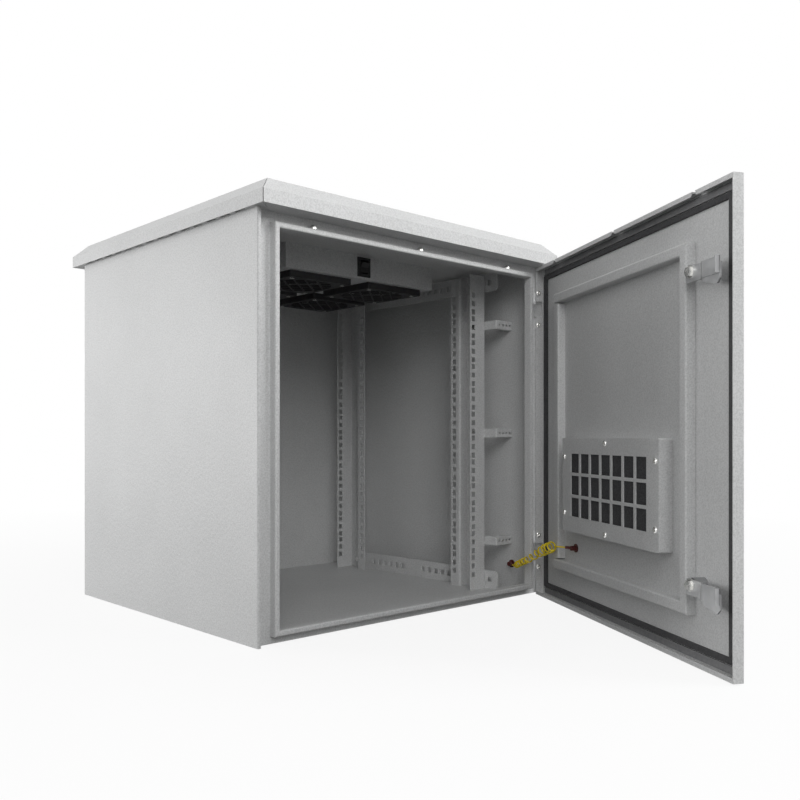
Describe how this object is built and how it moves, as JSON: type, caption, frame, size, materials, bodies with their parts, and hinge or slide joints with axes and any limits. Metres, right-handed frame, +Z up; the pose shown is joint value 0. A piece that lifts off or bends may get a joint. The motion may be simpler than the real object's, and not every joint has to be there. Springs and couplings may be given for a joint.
{
  "type": "outdoor equipment cabinet",
  "caption": "Wall cabinet for rack equipment with a canopy roof, a hinged door with filter and quarter-turn latches, rack posts, a fan tray and a coiled earth wire.",
  "frame": {"origin": "centre of the base, on its underside", "axes": "X to the right seen from the front, Y from the door opening to the back wall, Z up"},
  "size_m": [0.6408, 1.1176, 0.6375],
  "materials": {
    "powder_coat": "fine textured powder coat",
    "zinc_plate": "zinc plated",
    "black_plastic": "matte",
    "gasket_foam": "matte foam",
    "filter_felt": "open fibre mat",
    "wire_jacket": "satin",
    "lug_sleeve": "satin"
  },
  "bodies": {
    "cabinet": {"left_side_panel": "powder_coat", "right_side_panel": "powder_coat", "back_panel": "powder_coat", "bottom_panel": "powder_coat", "top_panel": "powder_coat", "rim_left": "powder_coat", "rim_right": "powder_coat", "rim_top": "powder_coat", "rim_bottom": "powder_coat", "roof_canopy": "powder_coat", "front_left_post": "powder_coat", "front_right_post": "powder_coat", "rear_left_post": "powder_coat", "rear_right_post": "powder_coat", "lower_left_bar": "powder_coat", "lower_right_bar": "powder_coat", "upper_left_bar": "powder_coat", "upper_right_bar": "powder_coat", "left_brackets": "powder_coat", "right_brackets": "powder_coat", "fan_tray": "powder_coat", "rim_bolts": "zinc_plate", "rack_bolts": "zinc_plate", "fan_frame_1": "black_plastic", "fan_frame_2": "black_plastic", "fan_frame_3": "black_plastic", "fan_frame_4": "black_plastic", "fan_grilles": "black_plastic", "switch_housing": "black_plastic", "lower_hinge_leaf": "powder_coat", "upper_hinge_leaf": "powder_coat", "hinge_pins": "zinc_plate", "fan_screws": "zinc_plate", "cabinet_earth_stud": "lug_sleeve", "earth_wire": "wire_jacket"},
    "door": {"door_panel": "powder_coat", "door_vent_hoods": "powder_coat", "door_gasket": "gasket_foam", "door_stiffener_top": "powder_coat", "door_stiffener_bottom": "powder_coat", "door_stiffener_hinge": "powder_coat", "door_stiffener_lock": "powder_coat", "filter_cover": "powder_coat", "filter_mat": "filter_felt", "door_hinge_leaves": "powder_coat", "filter_screws": "zinc_plate", "lock_bodies": "zinc_plate", "hinge_screws": "zinc_plate", "door_earth_stud": "lug_sleeve"},
    "lower_latch": {"lower_lock_plug": "zinc_plate", "lower_cam": "zinc_plate", "lower_cam_bolt": "zinc_plate"},
    "upper_latch": {"upper_lock_plug": "zinc_plate", "upper_cam": "zinc_plate", "upper_cam_bolt": "zinc_plate"},
    "fan_rotor_1": {"fan_rotor_1": "black_plastic"},
    "fan_rotor_2": {"fan_rotor_2": "black_plastic"},
    "fan_rotor_3": {"fan_rotor_3": "black_plastic"},
    "fan_rotor_4": {"fan_rotor_4": "black_plastic"},
    "switch_rocker": {"switch_rocker": "black_plastic"}
  },
  "joints": [
    {"name": "door_hinge", "type": "hinge", "parent": "cabinet", "child": "door", "pos_m": [0.30175, -0.2875, 0.298], "axis": [0, 0, 1], "range_deg": [-60.3, 59.7], "deforming": ["earth_wire"]},
    {"name": "lower_latch_turn", "type": "hinge", "parent": "door", "child": "lower_latch", "pos_m": [0.0434, -0.73619, 0.103], "axis": [0.8686, -0.4955, 0], "range_deg": [0, 90]},
    {"name": "upper_latch_turn", "type": "hinge", "parent": "door", "child": "upper_latch", "pos_m": [0.0434, -0.73619, 0.491], "axis": [0.8686, -0.4955, 0], "range_deg": [0, 90]},
    {"name": "fan_spin_1", "type": "hinge", "parent": "cabinet", "child": "fan_rotor_1", "pos_m": [-0.077, -0.0545, 0.572], "axis": [0, 0, 1], "continuous": true},
    {"name": "fan_spin_2", "type": "hinge", "parent": "cabinet", "child": "fan_rotor_2", "pos_m": [0.089, -0.0545, 0.572], "axis": [0, 0, 1], "continuous": true},
    {"name": "fan_spin_3", "type": "hinge", "parent": "cabinet", "child": "fan_rotor_3", "pos_m": [-0.077, 0.1015, 0.572], "axis": [0, 0, 1], "continuous": true},
    {"name": "fan_spin_4", "type": "hinge", "parent": "cabinet", "child": "fan_rotor_4", "pos_m": [0.089, 0.1015, 0.572], "axis": [0, 0, 1], "continuous": true},
    {"name": "rocker_tip", "type": "hinge", "parent": "cabinet", "child": "switch_rocker", "pos_m": [0.004, -0.1305, 0.57825], "axis": [1, 0, 0], "range_deg": [-18, 0]}
  ]
}
